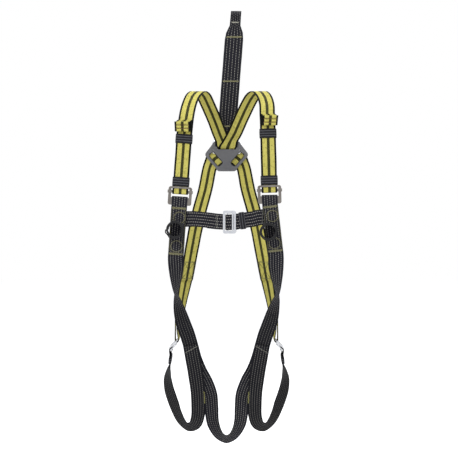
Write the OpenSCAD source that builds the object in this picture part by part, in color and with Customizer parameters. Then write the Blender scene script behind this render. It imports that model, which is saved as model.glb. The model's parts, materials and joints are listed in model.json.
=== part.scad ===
// Full body safety harness: two hi-vis shoulder straps cross in a dorsal plate,
// black front straps carry the chest belt, the leg loops and the seat strap.
// X points to the wearer's left, -Y to the wearer's front, Z up, in millimetres.
// The origin is the middle of the dorsal D-ring's bar.

/* [Webbing] */
// Width of the main webbing
web_w = 45; // [43:0.5:45]
// Thickness of the main webbing
web_t = 1.8; // [1.2:0.1:1.8]
// Air between two layers of webbing, or between webbing and metal
gap = 0.4; // [0.4:0.05:0.5]

/* [Body size] */
// Depth of the chest straps in front of the D-ring bar
chest_y = -240; // [-250:1:-230]
// Height of the shoulder tops above the D-ring bar
shoulder_z = 171; // [160:1:185]
// Height of the crotch of the seat strap
seat_z = -884; // [-900:1:-870]

/* [Dorsal plate] */
// Half of the width between the plate's side tips
plate_tip_x = 67; // [64:1:69]
// Thickness of the plate
plate_t = 3; // [2.5:0.1:3.2]
// Height of the middle of the plate
plate_z = -11; // [-12:0.5:-10]
// Radius of the four small through holes
plate_hole_r = 1.8; // [1.2:0.1:3]

/* [D-ring] */
// Radius of the D-ring's round bar
ring_bar_r = 5; // [4:0.1:5]
// Radius of the arch, along the middle of the bar
ring_arch_r = 43; // [42:0.5:45]

/* [Rescue strap] */
// Width of the wide part
rescue_w = 58; // [50:1:60]
// Width of the folded eye
rescue_eye_w = 33; // [28:1:36]
// Inside radius of the eye
rescue_eye_r = 12; // [10:0.5:14]
// Height of the eye's centre
rescue_eye_z = 429; // [400:1:440]

/* [Adjusters] */
// Outside width of an adjuster frame
adjuster_w = 68; // [68:0.5:72]
// Outside height of an adjuster frame
adjuster_h = 53; // [52:1:58]
// Sideways place of the right adjuster
right_adjuster_x = -134; // [-138:1:-130]
// Sideways place of the left adjuster
left_adjuster_x = 124.5; // [120:0.5:128]
// Height of the right adjuster
right_adjuster_z = -149.5; // [-152:0.5:-148]
// Height of the left adjuster
left_adjuster_z = -145; // [-148:0.5:-143]
// Length of the right tail above its adjuster
right_tail = 219; // [210:1:230]
// Length of the left tail above its adjuster
left_tail = 232; // [222:1:240]

/* [Buckles] */
// Length of a buckle along its webbing
buckle_l = 39; // [38:0.5:41]
// Height of a buckle across its webbing
buckle_h = 68; // [66:1:72]
// Thickness of a buckle's plates
buckle_t = 3; // [2.5:0.1:3]

/* [Front loops] */
// Inside radius of a front loop
loop_r = 17.5; // [15:0.5:18]
// Thickness of the folded webbing round a front loop
loop_wall = 8; // [5:0.5:9]
// How far a front loop stands out
loop_depth = 21; // [18:1:24]

/* [Hidden] */

RIGHT = 0;
LEFT = 1;
$fn = 48;
X = [1, 0, 0];
Y = [0, 1, 0];
Z = [0, 0, 1];
yellow = "#d7d569";
black = "#26262c";
steel = "#8a847e";
silver = "#c8ccd0";
grey = "#6c6c74";
lap = web_t + gap;

// ---------------------------------------------------------------- helpers

function unit(v) = v / norm(v);
function flip(v) = [-v.x, v.y, v.z];

// A frame is [origin, across, out of the webbing, along], right-handed.
function frame_on(base, top, across = X) =
    let (ez = unit(top - base), ex = unit(across - ez * (ez * across)))
    [base, ex, cross(ez, ex), ez];
function place(f, p) = f[0] + f[1] * p.x + f[2] * p.y + f[3] * p.z;

module in_frame(f) {
    multmatrix([
        [f[1].x, f[2].x, f[3].x, f[0].x],
        [f[1].y, f[2].y, f[3].y, f[0].y],
        [f[1].z, f[2].z, f[3].z, f[0].z]
    ]) children();
}

// Right-hand parts are modelled as they are; left-hand ones are their mirror image.
module on_side(side) {
    if (side == RIGHT) {
        children();
    } else {
        mirror(X) children();
    }
}

// Webbing runs through stations, each [point, direction of its width]. Between
// them it follows a spline whose knots are spaced by the root of the distance.
function knot(a, b) = sqrt(norm(b[0] - a[0]));
function velocity(s, i) =
    let (
        last = len(s) - 1,
        a = s[max(i - 1, 0)],
        b = s[i],
        c = s[min(i + 1, last)],
        before = i == 0 ? 0 : (b[0] - a[0]) / knot(a, b),
        after = i == last ? 0 : (c[0] - b[0]) / knot(b, c)
    )
    i == 0 ? after
    : i == last ? before
    : (before * knot(b, c) + after * knot(a, b)) / (knot(a, b) + knot(b, c));

// One cross-section: [middle, heading, direction of its width].
function section(a, b, va, vb, t) =
    let (
        g = knot(a, b),
        t2 = t * t,
        t3 = t2 * t
    ) [
        a[0] * (2 * t3 - 3 * t2 + 1) + va * g * (t3 - 2 * t2 + t)
            + b[0] * (3 * t2 - 2 * t3) + vb * g * (t3 - t2),
        a[0] * (6 * t2 - 6 * t) + va * g * (3 * t2 - 4 * t + 1)
            + b[0] * (6 * t - 6 * t2) + vb * g * (3 * t2 - 2 * t),
        a[1] * (1 - t) + b[1] * t
    ];

function sections(s, step) = [
    for (i = [0 : len(s) - 2])
        let (
            n = max(1, ceil(norm(s[i + 1][0] - s[i][0]) / step)),
            va = velocity(s, i),
            vb = velocity(s, i + 1)
        )
        for (j = [0 : n - (i == len(s) - 2 ? 0 : 1)])
            section(s[i], s[i + 1], va, vb, j / n)
];

// The corners of a cross-section; a slanted one keeps the webbing's true width.
function corners(q, width, thick) =
    let (
        c = cross(unit(q[1]), unit(q[2])),
        half = unit(q[2]) * width / 2 / norm(c),
        out = unit(c) * thick / 2
    )
    [q[0] + half + out, q[0] - half + out, q[0] - half - out, q[0] + half - out];

module ribbon(stations, width = web_w, thick = web_t, step = 20) {
    q = sections(stations, step);
    end = 4 * (len(q) - 1);
    polyhedron(
        points = [for (s = q) each corners(s, width, thick)],
        faces = concat(
            [[0, 1, 2], [0, 2, 3], [end + 3, end + 2, end + 1], [end + 3, end + 1, end]],
            [
                for (a = [0 : 4 : end - 4], i = [0 : 3])
                    each [
                        [a + i, a + 4 + i, a + 4 + (i + 1) % 4],
                        [a + i, a + 4 + (i + 1) % 4, a + (i + 1) % 4]
                    ]
            ]
        ),
        convexity = 10
    );
}

// Stations of a turn round a bar that lies along the frame's first axis, with
// angles in the plane of the other two.
function turn(f, y, z, r, from, to, steps = 6) = [
    for (k = [0 : steps])
        let (a = from + (to - from) * k / steps)
        [place(f, [0, y + r * cos(a), z + r * sin(a)]), f[1]]
];

module rounded_rect(w, h, r) {
    square([w, h - 2 * r], center = true);
    square([w - 2 * r, h], center = true);
    for (x = [-1, 1], y = [-1, 1])
        translate([x * (w / 2 - r), y * (h / 2 - r)]) circle(r);
}

// A flat band round layers of webbing, standing along the frame's last axis.
module band(w, t, h, wall = 1.4) {
    slack = 0.6;
    linear_extrude(h, center = true)
        difference() {
            square([w + 2 * (slack + wall), t + 2 * (slack + wall)], center = true);
            square([w + 2 * slack, t + 2 * slack], center = true);
        }
}

// ---------------------------------------------------------- chest geometry

adjuster_t = 4;
adjuster_rail = 8;
adjuster_top_bar = 5;
adjuster_bottom_bar = 22;
guard_h = 5.3;
guard_t = 2.4;
edge_r = 6;
// Distance from the middle of a bar to the webbing that passes it.
ply = adjuster_t / 2 + gap + web_t / 2;
turn_in = 0.6;

adjuster_at = [
    [right_adjuster_x, chest_y, right_adjuster_z],
    [left_adjuster_x, chest_y, left_adjuster_z]
];
strap_top = [[-120.5, chest_y + 8, 45], [119.5, chest_y + 8, 60]];
patch_end = [[-146, chest_y + 2, -323], [142, chest_y + 2, -314]];
tail_length = [right_tail, left_tail];

// The straight stretch above an adjuster, and the one below it.
function upper(side) = frame_on(adjuster_at[side], strap_top[side]);
function below_adjuster(side) = place(upper(side), [0, 0, -adjuster_h / 2]);
function lower(side) = frame_on(patch_end[side], below_adjuster(side));
function lower_length(side) = norm(below_adjuster(side) - patch_end[side]);

bar_h = 8;
bar_z = 12.4;
keeper_h = 27;
upper_keeper_z = [166, 177];
lower_keeper_z = 41;

// ------------------------------------------------------------ yellow straps

plate_rear = -ring_bar_r - 0.3;
plate_front = plate_rear - plate_t;
window_at = [34, -25];
window_tilt = 49;
function slanted(s, a) = [cos(a), 0, s * sin(a)];

// Over the shoulder, with the outline narrower at the right than at the left.
shoulder_x = [[-116, -109, -98, -84, -71, -58, -38, -21], [119, 118.5, 110, 97, 82, 66, 44, 24]];
shoulder_y = [-212, -184, -150, -118, -92, -68, -42, -22];
shoulder_drop = [-85, -46, -15, 0, -8, -32, -76, -119];

function over_shoulder(side) = [
    for (i = [0 : len(shoulder_y) - 1])
        [[shoulder_x[side][i], shoulder_y[i] - (side == LEFT && i > 4 ? lap : 0),
          shoulder_z + shoulder_drop[i]], X]
];

// Through the plate's slot and over the D-ring's bar: the left strap is the
// inner one, the right strap lies on top of it.
function through_plate(side) =
    let (
        k = side == LEFT ? 0 : 1,
        s = side == LEFT ? -1 : 1,
        r = ring_bar_r + gap + web_t / 2 + k * lap,
        front = plate_front - gap - web_t / 2 - (1 - k) * lap,
        rear = plate_rear + gap + web_t / 2 + k * lap
    ) concat(
        [
            [[-12.5 * s, front - 0.6, 33], X],
            [[-8.8 * s, front + 0.1, 25], X],
            [[-6 * s, front + 0.2 - 0.1 * k, 19 - 0.6 * k], X],
            [[-4.4 * s, front + 1.3 - 0.2 * k, 14.6 + 1.1 * k], X],
            [[-3 * s, front + 4.2 - 0.7 * k, 11.2 + 1.9 * k], X]
        ],
        [for (a = [80 : -30 : -40]) [[s * (3.8 - a / 15), r * cos(a), r * sin(a)], X]],
        [
            [[s * 10, rear + 3 + 1.4 * k, -9.5], X],
            [[s * 16.5, rear + 1 + 1.6 * k, -13.5], slanted(s, 12)],
            [[s * 26, rear + 0.2 + 0.8 * k, -16.6], slanted(s, 33)],
            [[s * (window_at.x + 2), rear, window_at.y + 2.6], slanted(s, window_tilt)],
            [[s * 45, rear, -34], slanted(s, 42)],
            [[s * 52, rear, -48], slanted(s, 30)],
            [[s * 56, rear, -63], slanted(s, 20)]
        ]
    );

// Down to the hip on the other side: [distance from the middle, depth, height],
// with the share of the width that still faces backwards.
back_run = [
    [[67, -8, -120], 1], [[84, -13, -183], 1], [[96, -18, -238], 0.98],
    [[107.5, -25, -300], 0.95], [[117, -33, -356], 0.9], [[125, -42, -405], 0.84]
];
hip_run = [
    [[117, -33, -356], 0.9], [[125, -42, -405], 0.84], [[134, -62, -462], 0.62],
    [[139.5, -92, -516], 0.33], [[142.4, -118, -556], 0.08]
];
function round_hip(s, c) = [s * c, -sqrt(1 - c * c), 0];
function down_back(s, run, out) = [
    for (p = run)
        let (w = round_hip(1, p[1]))
        [[s * (p[0].x + out * sqrt(1 - p[1] * p[1])), p[0].y + out * p[1], p[0].z],
         [w.x, s * w.y, w.z]]
];

module shoulder_strap(side) {
    f = upper(side);
    hem = tail_length[side];
    bottom = bar_z - bar_h / 2 + turn_in;
    color(yellow)
        ribbon(concat(
            [
                [place(f, [0, -ply - 11, hem]), X],
                [place(f, [0, -ply - 4.4, hem - 16]), X],
                [place(f, [0, -ply - 0.4, hem - 30]), X]
            ],
            [for (z = [hem - 37, 120, 70, 30]) [place(f, [0, -ply, z]), f[1]]],
            turn(f, 0, bottom, ply, 180, 360),
            [for (z = [30, 70, 120, hem - 34]) [place(f, [0, ply, z]), f[1]]],
            over_shoulder(side),
            through_plate(side),
            down_back(side == RIGHT ? 1 : -1, back_run, 0)
        ));
}

// ------------------------------------------------------------- leg buckles

leg_buckle_at = [-159.3, -134, -588];
slant = sqrt(0.5);
leg_buckle_frame = [leg_buckle_at, [-slant, 0, -slant], [slant, 0, -slant], [0, -1, 0]];
frame_bar_x = -16;
tongue_bar_x = 17;
tongue_y = 6.7;
hip_turn_r = 5.4;
tongue_turn_r = 4.2;

module hip_strap() {
    bar = place(leg_buckle_frame, [frame_bar_x, 0, 0]);
    color(yellow)
        ribbon(concat(
            down_back(-1, hip_run, lap + 0.8),
            turn([bar, Y, X, Z], 0, 0, hip_turn_r, 0, -180),
            [for (z = [35, 75, 128]) [bar + [-hip_turn_r - z / 200, z / 12, z], [0, 1, -0.1]]]
        ));
}

// ------------------------------------------------------------ black straps

// From the end of the patch over the hip bone to the thigh, on the right:
// [point, direction of the width].
thigh_run = [
    [[0, 14, -38], [0.93, 0.36, 0]],
    [[-1, 26, -76], [0.6, 0.8, 0]],
    [[-1, 34, -112], [0.16, 0.98, 0]],
    [[6, 42, -150], [0.62, 0.78, 0.1]],
    [[18, 50, -196], [0.93, 0.36, 0.2]],
    [[32, 54, -236], [0.97, 0.2, 0.22]],
    [[43, 62, -276], [0.97, 0.15, 0.2]],
    [[47, 66, -294], [0.97, 0.15, 0.2]]
];

module front_strap(side) {
    f = upper(side);
    g = lower(side);
    h = lower_length(side);
    s = side == RIGHT ? 1 : -1;
    bar_top = -adjuster_h / 2 + adjuster_bottom_bar;
    end = patch_end[side];
    shift = side == RIGHT ? 0 : 4;
    color(black)
        ribbon(concat(
            [for (z = [12, 60, 110, h - 12]) [place(g, [0, ply, z]), g[1]]],
            turn(f, 0, bar_top - turn_in, ply, 0, 180),
            [for (z = [h - 12, 110, 60, 12, -4]) [place(g, [0, -ply, z]), g[1]]],
            [
                for (i = [0 : len(thigh_run) - 1])
                    let (p = thigh_run[i][0], w = thigh_run[i][1])
                    [[end.x + s * p.x + (i < 3 ? shift * (i + 1) / 2 : shift * 1.1),
                      end.y + p.y, -323 + p.z],
                     [w.x, s * w.y, s * w.z]]
            ]
        ));
}

// The strip sewn over the front strap, which holds the front loop.
module loop_patch(side) {
    g = lower(side);
    h = lower_length(side);
    color(black)
        in_frame(g)
            translate([0, -ply - lap, h / 2 - 1])
                cube([web_w, web_t, h - 6], center = true);
}

// The round loop of folded webbing stands on the patch.
front_loop_at = [[-147.5, -246], [121, -251.5]];
function front_loop_frame(side) =
    let (
        g = lower(side),
        at_z = (front_loop_at[side][1] - g[0].z) / g[3].z,
        at_x = front_loop_at[side][0] - place(g, [0, 0, at_z]).x,
        out = -ply - lap - web_t / 2 - 0.5
    )
    [place(g, [at_x, out, at_z]), g[1], g[2], g[3]];

module front_loop(side) {
    color(black)
        in_frame(front_loop_frame(side))
            rotate([90, 0, 0])
                difference() {
                    cylinder(h = loop_depth, r = loop_r + loop_wall);
                    translate([0, 0, -1]) cylinder(h = loop_depth + 2, r = loop_r);
                }
}

// Leg strap on the right: sewn start in front of the thigh strap, down round the
// inside of the thigh, and up its outside to the buckle's tongue.
leg_run = [
    [[-106, -183, -588], [0.97, 0.15, 0.2]],
    [[-99, -176, -628], [0.97, 0.15, 0.2]],
    [[-92, -167, -672], [0.97, 0.18, 0.1]],
    [[-86, -156, -722], [0.95, 0.3, 0]],
    [[-84, -146, -772], [0.93, 0.36, -0.05]],
    [[-87, -132, -812], [0.82, 0.5, -0.25]],
    [[-98, -115, -838], [0.5, 0.62, -0.6]],
    [[-118, -102, -846], [0.05, 0.68, -0.73]],
    [[-142, -91, -822], [-0.38, 0.62, -0.68]],
    [[-160, -80, -783], [-0.66, 0.6, -0.45]],
    [[-174, -74, -744], [-0.76, 0.64, -0.1]],
    [[-179, -77, -714], [-0.66, 0.74, 0.1]],
    [[-177, -93, -688], [-0.4, 0.88, 0.25]]
];
tongue_bar = place(leg_buckle_frame, [tongue_bar_x, tongue_y, 0]);
leg_keeper_frame = frame_on([-170.6, -120, -659], tongue_bar, Y);
// Half the distance between the leg strap's two layers, below the buckle.
leg_close = 1.3;
leg_straight = norm(tongue_bar - leg_keeper_frame[0]);

module leg_strap() {
    f = leg_keeper_frame;
    h = leg_straight;
    color(black)
        ribbon(concat(
            leg_run,
            [for (z = [8, 24, h - 16]) [place(f, [0, -leg_close, z]), f[1]]],
            [for (p = turn(f, 0, h, -tongue_turn_r, 0, -180)) [p[0], Y]],
            [for (z = [h - 16, 24, 2]) [place(f, [0, leg_close, z]), f[1]]]
        ));
}

// Half of the seat strap, on the right, from its sewn start to the middle.
seat_run = [
    [[-102, -173, -588], [0.97, 0.15, 0.2]],
    [[-95.5, -166, -624], [0.97, 0.15, 0.2]],
    [[-81, -151, -668], [0.95, 0.25, 0.25]],
    [[-62, -137, -706], [0.93, 0.3, 0.25]],
    [[-48.5, -124, -748], [0.93, 0.32, 0.15]],
    [[-45, -116, -793], [0.9, 0.42, 0.05]],
    [[-41, -111, -830], [0.78, 0.6, 0.2]],
    [[-29, -106, -860], [0.5, 0.82, 0.28]],
    [[-14, -101, -878], [0.2, 0.92, 0.3]]
];

module seat_strap() {
    left_half = [
        for (i = [len(seat_run) - 1 : -1 : 0])
            [flip(seat_run[i][0]), -flip(seat_run[i][1])]
    ];
    color(black)
        ribbon(concat(
            seat_run,
            [[[0, -98, seat_z], [0, 0.94, 0.34]]],
            [for (p = left_half) [p[0], [-p[1].x, -p[1].y, -p[1].z]]]
        ));
}

// -------------------------------------------------------------- chest belt

chest_buckle_at = [9.6, chest_y - 1, -224.6];
chest_frame = [chest_buckle_at, X, Y, Z];
belt_turn_r = buckle_t / 2 + gap + web_t / 2;
belt_fold = 34;
// The frame's rear bar stands behind its left side, clear of the webbing.
rear_bar_x = -17;
rear_bar_w = 4;
rear_bar_y = buckle_t / 2 + gap + web_t / 2 + belt_turn_r;
tongue_x0 = -9;
// From the end of a bar to the middle of the turn round it.
turn_inset = buckle_t / 2 - turn_in;

module right_belt() {
    bar_end = rear_bar_x + rear_bar_w / 2 - turn_inset;
    near_y = rear_bar_y - belt_turn_r;
    start = place(lower(RIGHT), [0, 0, 108]);
    color(black)
        ribbon(concat(
            [
                [start + [-14, 0, 0], Z],
                [start + [14, -0.2, -0.6], Z],
                [[-92, chest_y - 0.8, -215.5], Z],
                [[-50, chest_y - 1 + near_y, -219.5], Z],
                [chest_buckle_at + [-32, near_y, 1.5], Z]
            ],
            [
                for (a = [-90 : 30 : 90])
                    [chest_buckle_at
                        + [bar_end + belt_turn_r * cos(a), rear_bar_y + belt_turn_r * sin(a), 0.5],
                     Z]
            ],
            [
                [chest_buckle_at + [-21, rear_bar_y + belt_turn_r, 0.9], Z],
                [chest_buckle_at + [-36, near_y + lap + 0.4, 1.9], Z],
                [chest_buckle_at + [-32 - belt_fold, near_y + lap + 0.2, 5], Z]
            ]
        ));
}

belt_near = [chest_buckle_at.x + tongue_bar_x + 6, -222.6];
belt_far = [104, -211];
// Half the distance between the belt's two layers, beside the buckle.
belt_close = 1.3;
belt_middle_y = chest_y - 1 + tongue_y;
belt_frame = frame_on(
    [belt_near.x, belt_middle_y, belt_near.y],
    [belt_far.x, belt_middle_y, belt_far.y], Z);

module left_belt() {
    bar = chest_buckle_at + [tongue_x0 + turn_inset, tongue_y, 0];
    far_bar = chest_buckle_at + [tongue_bar_x + 2, tongue_y, 1];
    f = belt_frame;
    g = lower(LEFT);
    sewn = place(g, [0, 0, 107]);
    color(black)
        ribbon(concat(
            [
                [sewn + [14, 0, 1], Z],
                [sewn + [-27, 0.2, -2.6], Z],
                [[84, chest_y + 3, -213.5], Z]
            ],
            [for (z = [50, 3]) [place(f, [0, belt_close, z]), Z]],
            [[far_bar - [0, belt_turn_r, 0], Z]],
            [
                for (a = [-90 : -30 : -270])
                    [bar + [belt_turn_r * cos(a), belt_turn_r * sin(a), -0.8], Z]
            ],
            [[far_bar + [0, belt_turn_r, 0], Z]],
            [for (z = [3, 54]) [place(f, [0, -belt_close, z]), Z]]
        ));
}

// --------------------------------------------------------------- hardware

module plate_outline() {
    corner_r = 11;
    linear_extrude(plate_t)
        polygon([
            [33, 42], [44, 34], [plate_tip_x - 3, 8], [plate_tip_x - 3, -8], [31, -45],
            [19, -52], [-19, -52], [-31, -45], [-(plate_tip_x - 3), -8],
            [-(plate_tip_x - 3), 8], [-44, 34], [-33, 42]
        ]);
    for (s = [-1, 1]) {
        translate([s * (plate_tip_x - corner_r), 0, 0]) cylinder(h = plate_t, r = corner_r);
        translate([s * 34, 31, 0]) cylinder(h = plate_t, r = corner_r);
        translate([s * 22, -41, 0]) cylinder(h = plate_t, r = corner_r);
    }
}

// Hexagonal plate with a slot for both straps, two slanted windows and four holes.
module dorsal_plate() {
    window_l = 46;
    window_h = 17;
    slot_outline = [[-29, 17], [29, 17], [31.5, 29], [-31.5, 29]];
    holes = [[43, 14.5], [54, 2.5]];
    color(grey)
        translate([0, plate_rear, plate_z])
            rotate([90, 0, 0])
                difference() {
                    plate_outline();
                    translate([0, 0, -1]) linear_extrude(plate_t + 2) polygon(slot_outline);
                    for (s = [-1, 1]) {
                        translate([s * window_at.x, window_at.y - plate_z, -1])
                            rotate(s * window_tilt)
                                linear_extrude(plate_t + 2)
                                    rounded_rect(window_l, window_h, 5);
                        for (p = holes)
                            translate([s * p.x, p.y, -1])
                                cylinder(h = plate_t + 2, r = plate_hole_r, $fn = 32);
                    }
                }
}

// Straight bar, two short legs and a round arch, standing up at rest.
ring_leg_z = 10;

module dorsal_d_ring() {
    corner_r = 9;
    straight = ring_arch_r - corner_r;
    color(silver)
        rotate([90, 0, 0]) {
            rotate([0, 90, 0]) cylinder(h = 2 * straight, r = ring_bar_r, center = true);
            for (s = [-1, 1]) {
                translate([s * straight, corner_r, 0])
                    rotate(s > 0 ? -90 : 180)
                        rotate_extrude(angle = 90) translate([corner_r, 0]) circle(ring_bar_r);
                translate([s * ring_arch_r, corner_r, 0])
                    rotate([-90, 0, 0]) cylinder(h = ring_leg_z - corner_r, r = ring_bar_r);
            }
            translate([0, ring_leg_z, 0])
                rotate_extrude(angle = 180) translate([ring_arch_r, 0]) circle(ring_bar_r);
        }
}

// A folded length of webbing: its side view gives the two layers, the eye and
// the turn under the arch; its front view gives the taper and the lean.
rescue_hinge_z = ring_leg_z + ring_arch_r;
rescue_turn_r = 9.5;
rescue_lean = 0.0778;
rescue_reach = 160;

module layer(a, b) {
    n = unit([-(b - a).y, (b - a).x]) * web_t / 2;
    linear_extrude(rescue_reach, center = true) polygon([a + n, b + n, b - n, a - n]);
}

// Webbing bent round a circle, left open where the given outline lies.
module bend(r, z, opening) {
    translate([0, z, 0])
        difference() {
            cylinder(h = rescue_reach, r = r + web_t, center = true);
            cylinder(h = rescue_reach + 2, r = r, center = true);
            linear_extrude(rescue_reach + 2, center = true) polygon(opening);
        }
}

module rescue_side() {
    low = rescue_hinge_z - 5;
    join = low + 52;
    flat_y = (web_t + 0.5) / 2;
    // Angle at which the two layers part below the eye, and reach of the cut-outs.
    open = 41;
    wide = 30;
    mid_r = rescue_eye_r + web_t / 2;
    split = rescue_eye_z - 34;
    turn_mid = rescue_turn_r + web_t / 2;
    bend(rescue_turn_r, low, [[-wide, 0], [wide, 0], [wide, wide], [-wide, wide]]);
    for (s = [-1, 1]) {
        layer([s * turn_mid, low - 0.3], [s * turn_mid, low + 8]);
        layer([s * turn_mid, low + 7.6], [s * flat_y, join]);
        layer([s * flat_y, join - 0.3], [s * flat_y, split + 0.3]);
        layer([s * flat_y, split], [s * mid_r * sin(open), rescue_eye_z - mid_r * cos(open)]);
    }
    bend(rescue_eye_r, rescue_eye_z, [[0, 0], [-wide * tan(open), -wide], [wide * tan(open), -wide]]);
}

module rescue_front() {
    function lean(z) = rescue_lean * (z - 55);
    rows = [
        [30, 38], [84, 38], [122, rescue_w], [362, rescue_w],
        [372, rescue_w - 5], [401, rescue_eye_w], [460, rescue_eye_w]
    ];
    polygon(concat(
        [for (r = rows) [lean(r[0]) + r[1] / 2, r[0]]],
        [for (i = [len(rows) - 1 : -1 : 0]) [lean(rows[i][0]) - rows[i][1] / 2, rows[i][0]]]
    ));
}

module rescue_strap() {
    color(black)
        intersection() {
            rotate([90, 0, 0]) linear_extrude(80, center = true) rescue_front();
            rotate([90, 0, 90]) rescue_side();
        }
}

// The frame's broad lower bar carries the black strap; its top has a guard in
// front, so that the yellow tail passes behind it.
module adjuster_frame(side) {
    passage_y = ply + web_t / 2 + gap;
    color(steel)
        in_frame(upper(side))
            difference() {
                union() {
                    rotate([90, 0, 0])
                        linear_extrude(adjuster_t, center = true)
                            rounded_rect(adjuster_w, adjuster_h, edge_r);
                    translate([0, -passage_y / 2 - guard_t / 2, (adjuster_h - guard_h) / 2])
                        cube([adjuster_w - 2 * edge_r, passage_y + guard_t, guard_h], center = true);
                }
                translate([0, 0, (adjuster_bottom_bar - adjuster_top_bar) / 2])
                    rotate([90, 0, 0])
                        linear_extrude(adjuster_t + 1, center = true)
                            rounded_rect(
                                adjuster_w - 2 * adjuster_rail,
                                adjuster_h - adjuster_top_bar - adjuster_bottom_bar, 1);
                translate([0, -(passage_y + adjuster_t / 2) / 2, adjuster_h / 2])
                    cube([web_w + 2, passage_y - adjuster_t / 2, 2 * adjuster_h], center = true);
            }
}

// The bar crosses the frame's window and its ears go round both side rails.
module adjuster_bar(side) {
    play = 0.3;
    ear_t = 2;
    inner = adjuster_w / 2 - adjuster_rail;
    ear_w = adjuster_rail + 2 * (play + ear_t);
    color(steel)
        in_frame(upper(side))
            translate([0, 0, bar_z]) {
                cube([2 * (inner - play - ear_t) + 1, adjuster_t, bar_h], center = true);
                for (s = [-1, 1])
                    translate([s * (inner + adjuster_rail / 2), 0, 0])
                        difference() {
                            cube([ear_w, adjuster_t + 2 * (play + ear_t), bar_h], center = true);
                            cube([adjuster_rail + 2 * play, adjuster_t + 2 * play, bar_h + 1],
                                center = true);
                        }
            }
}

frame_open_h = 51;
tongue_open_h = 50;
tongue_h = buckle_h - 6;

// Both buckle plates stand across the webbing: x along it, z along its width.
module buckle_plate(x0, x1, h, open_x0, open_x1, open_h) {
    rotate([90, 0, 0])
        linear_extrude(buckle_t, center = true)
            difference() {
                translate([(x0 + x1) / 2, 0]) rounded_rect(x1 - x0, h, 5);
                translate([(open_x0 + open_x1) / 2, 0])
                    rounded_rect(open_x1 - open_x0, open_h, 2);
            }
}

// The chest buckle's frame has a double bar at one side and a bar behind the other.
module chest_buckle_frame() {
    rear_bar_h = 62;
    lug_h = 4;
    slit = [1.4, buckle_t + 1, 48];
    slit_x = 11.6;
    color(silver)
        in_frame(chest_frame)
            difference() {
                union() {
                    buckle_plate(-buckle_l / 2, buckle_l / 2 - 2, buckle_h - 2,
                        -13.5, 6.5, frame_open_h);
                    translate([rear_bar_x, rear_bar_y, 0])
                        cube([rear_bar_w, buckle_t, rear_bar_h], center = true);
                    for (s = [-1, 1])
                        translate([rear_bar_x, rear_bar_y / 2, s * (rear_bar_h - lug_h) / 2])
                            cube([rear_bar_w, rear_bar_y + buckle_t, lug_h], center = true);
                }
                translate([slit_x, 0, 0]) cube(slit, center = true);
            }
}

module chest_buckle_tongue() {
    color(silver)
        in_frame(chest_frame)
            translate([0, tongue_y, 0])
                buckle_plate(tongue_x0, buckle_l / 2, tongue_h, tongue_x0 + 4.5, 14.5, tongue_open_h);
}

module buckle_frame(f) {
    color(silver)
        in_frame(f)
            buckle_plate(-buckle_l / 2, buckle_l / 2 - 4, buckle_h, -12.5, 8.5, frame_open_h);
}

module buckle_tongue(f) {
    color(silver)
        in_frame(f)
            translate([0, tongue_y, 0])
                buckle_plate(tongue_x0, buckle_l / 2, tongue_h, 5, 14.5, tongue_open_h);
}

// ---------------------------------------------------------------- keepers

module strap_keeper(side, z) {
    color(black) in_frame(upper(side)) translate([0, 0, z]) band(web_w, 2 * ply + web_t, keeper_h);
}

module belt_keeper() {
    along = 13.5;
    height = 15;
    color(black) in_frame(belt_frame) translate([0, 0, along]) band(web_w, 2 * belt_close + web_t, height);
}

module leg_keeper() {
    along = 25;
    height = 18;
    color(black)
        in_frame(leg_keeper_frame)
            translate([0, 0, along]) band(web_w, 2 * leg_close + web_t, height);
}

// ------------------------------------------------------------------ nodes

shoulder_strap(RIGHT);  // right_shoulder_strap
shoulder_strap(LEFT);  // left_shoulder_strap
on_side(RIGHT) hip_strap();  // right_hip_strap
on_side(LEFT) hip_strap();  // left_hip_strap
front_strap(RIGHT);  // right_front_strap
front_strap(LEFT);  // left_front_strap
loop_patch(RIGHT);  // right_loop_patch
loop_patch(LEFT);  // left_loop_patch
on_side(RIGHT) leg_strap();  // right_leg_strap
on_side(LEFT) leg_strap();  // left_leg_strap
seat_strap();
right_belt();
left_belt();
front_loop(RIGHT);  // right_front_loop
front_loop(LEFT);  // left_front_loop
dorsal_plate();
dorsal_d_ring();
rescue_strap();
adjuster_frame(RIGHT);  // right_adjuster_frame
adjuster_frame(LEFT);  // left_adjuster_frame
adjuster_bar(RIGHT);  // right_adjuster_bar
adjuster_bar(LEFT);  // left_adjuster_bar
chest_buckle_frame();
chest_buckle_tongue();
on_side(RIGHT) buckle_frame(leg_buckle_frame);  // right_leg_buckle_frame
on_side(LEFT) buckle_frame(leg_buckle_frame);  // left_leg_buckle_frame
on_side(RIGHT) buckle_tongue(leg_buckle_frame);  // right_leg_buckle_tongue
on_side(LEFT) buckle_tongue(leg_buckle_frame);  // left_leg_buckle_tongue
strap_keeper(RIGHT, upper_keeper_z[RIGHT]);  // right_upper_keeper
strap_keeper(LEFT, upper_keeper_z[LEFT]);  // left_upper_keeper
strap_keeper(RIGHT, lower_keeper_z);  // right_lower_keeper
strap_keeper(LEFT, lower_keeper_z);  // left_lower_keeper
belt_keeper();
on_side(RIGHT) leg_keeper();  // right_leg_keeper
on_side(LEFT) leg_keeper();  // left_leg_keeper
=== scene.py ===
"""Looks for the safety harness: woven webbing, threads, elastic keepers and metal
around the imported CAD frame. Everything is in metres, in the CAD frame."""
import json
import math

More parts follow.
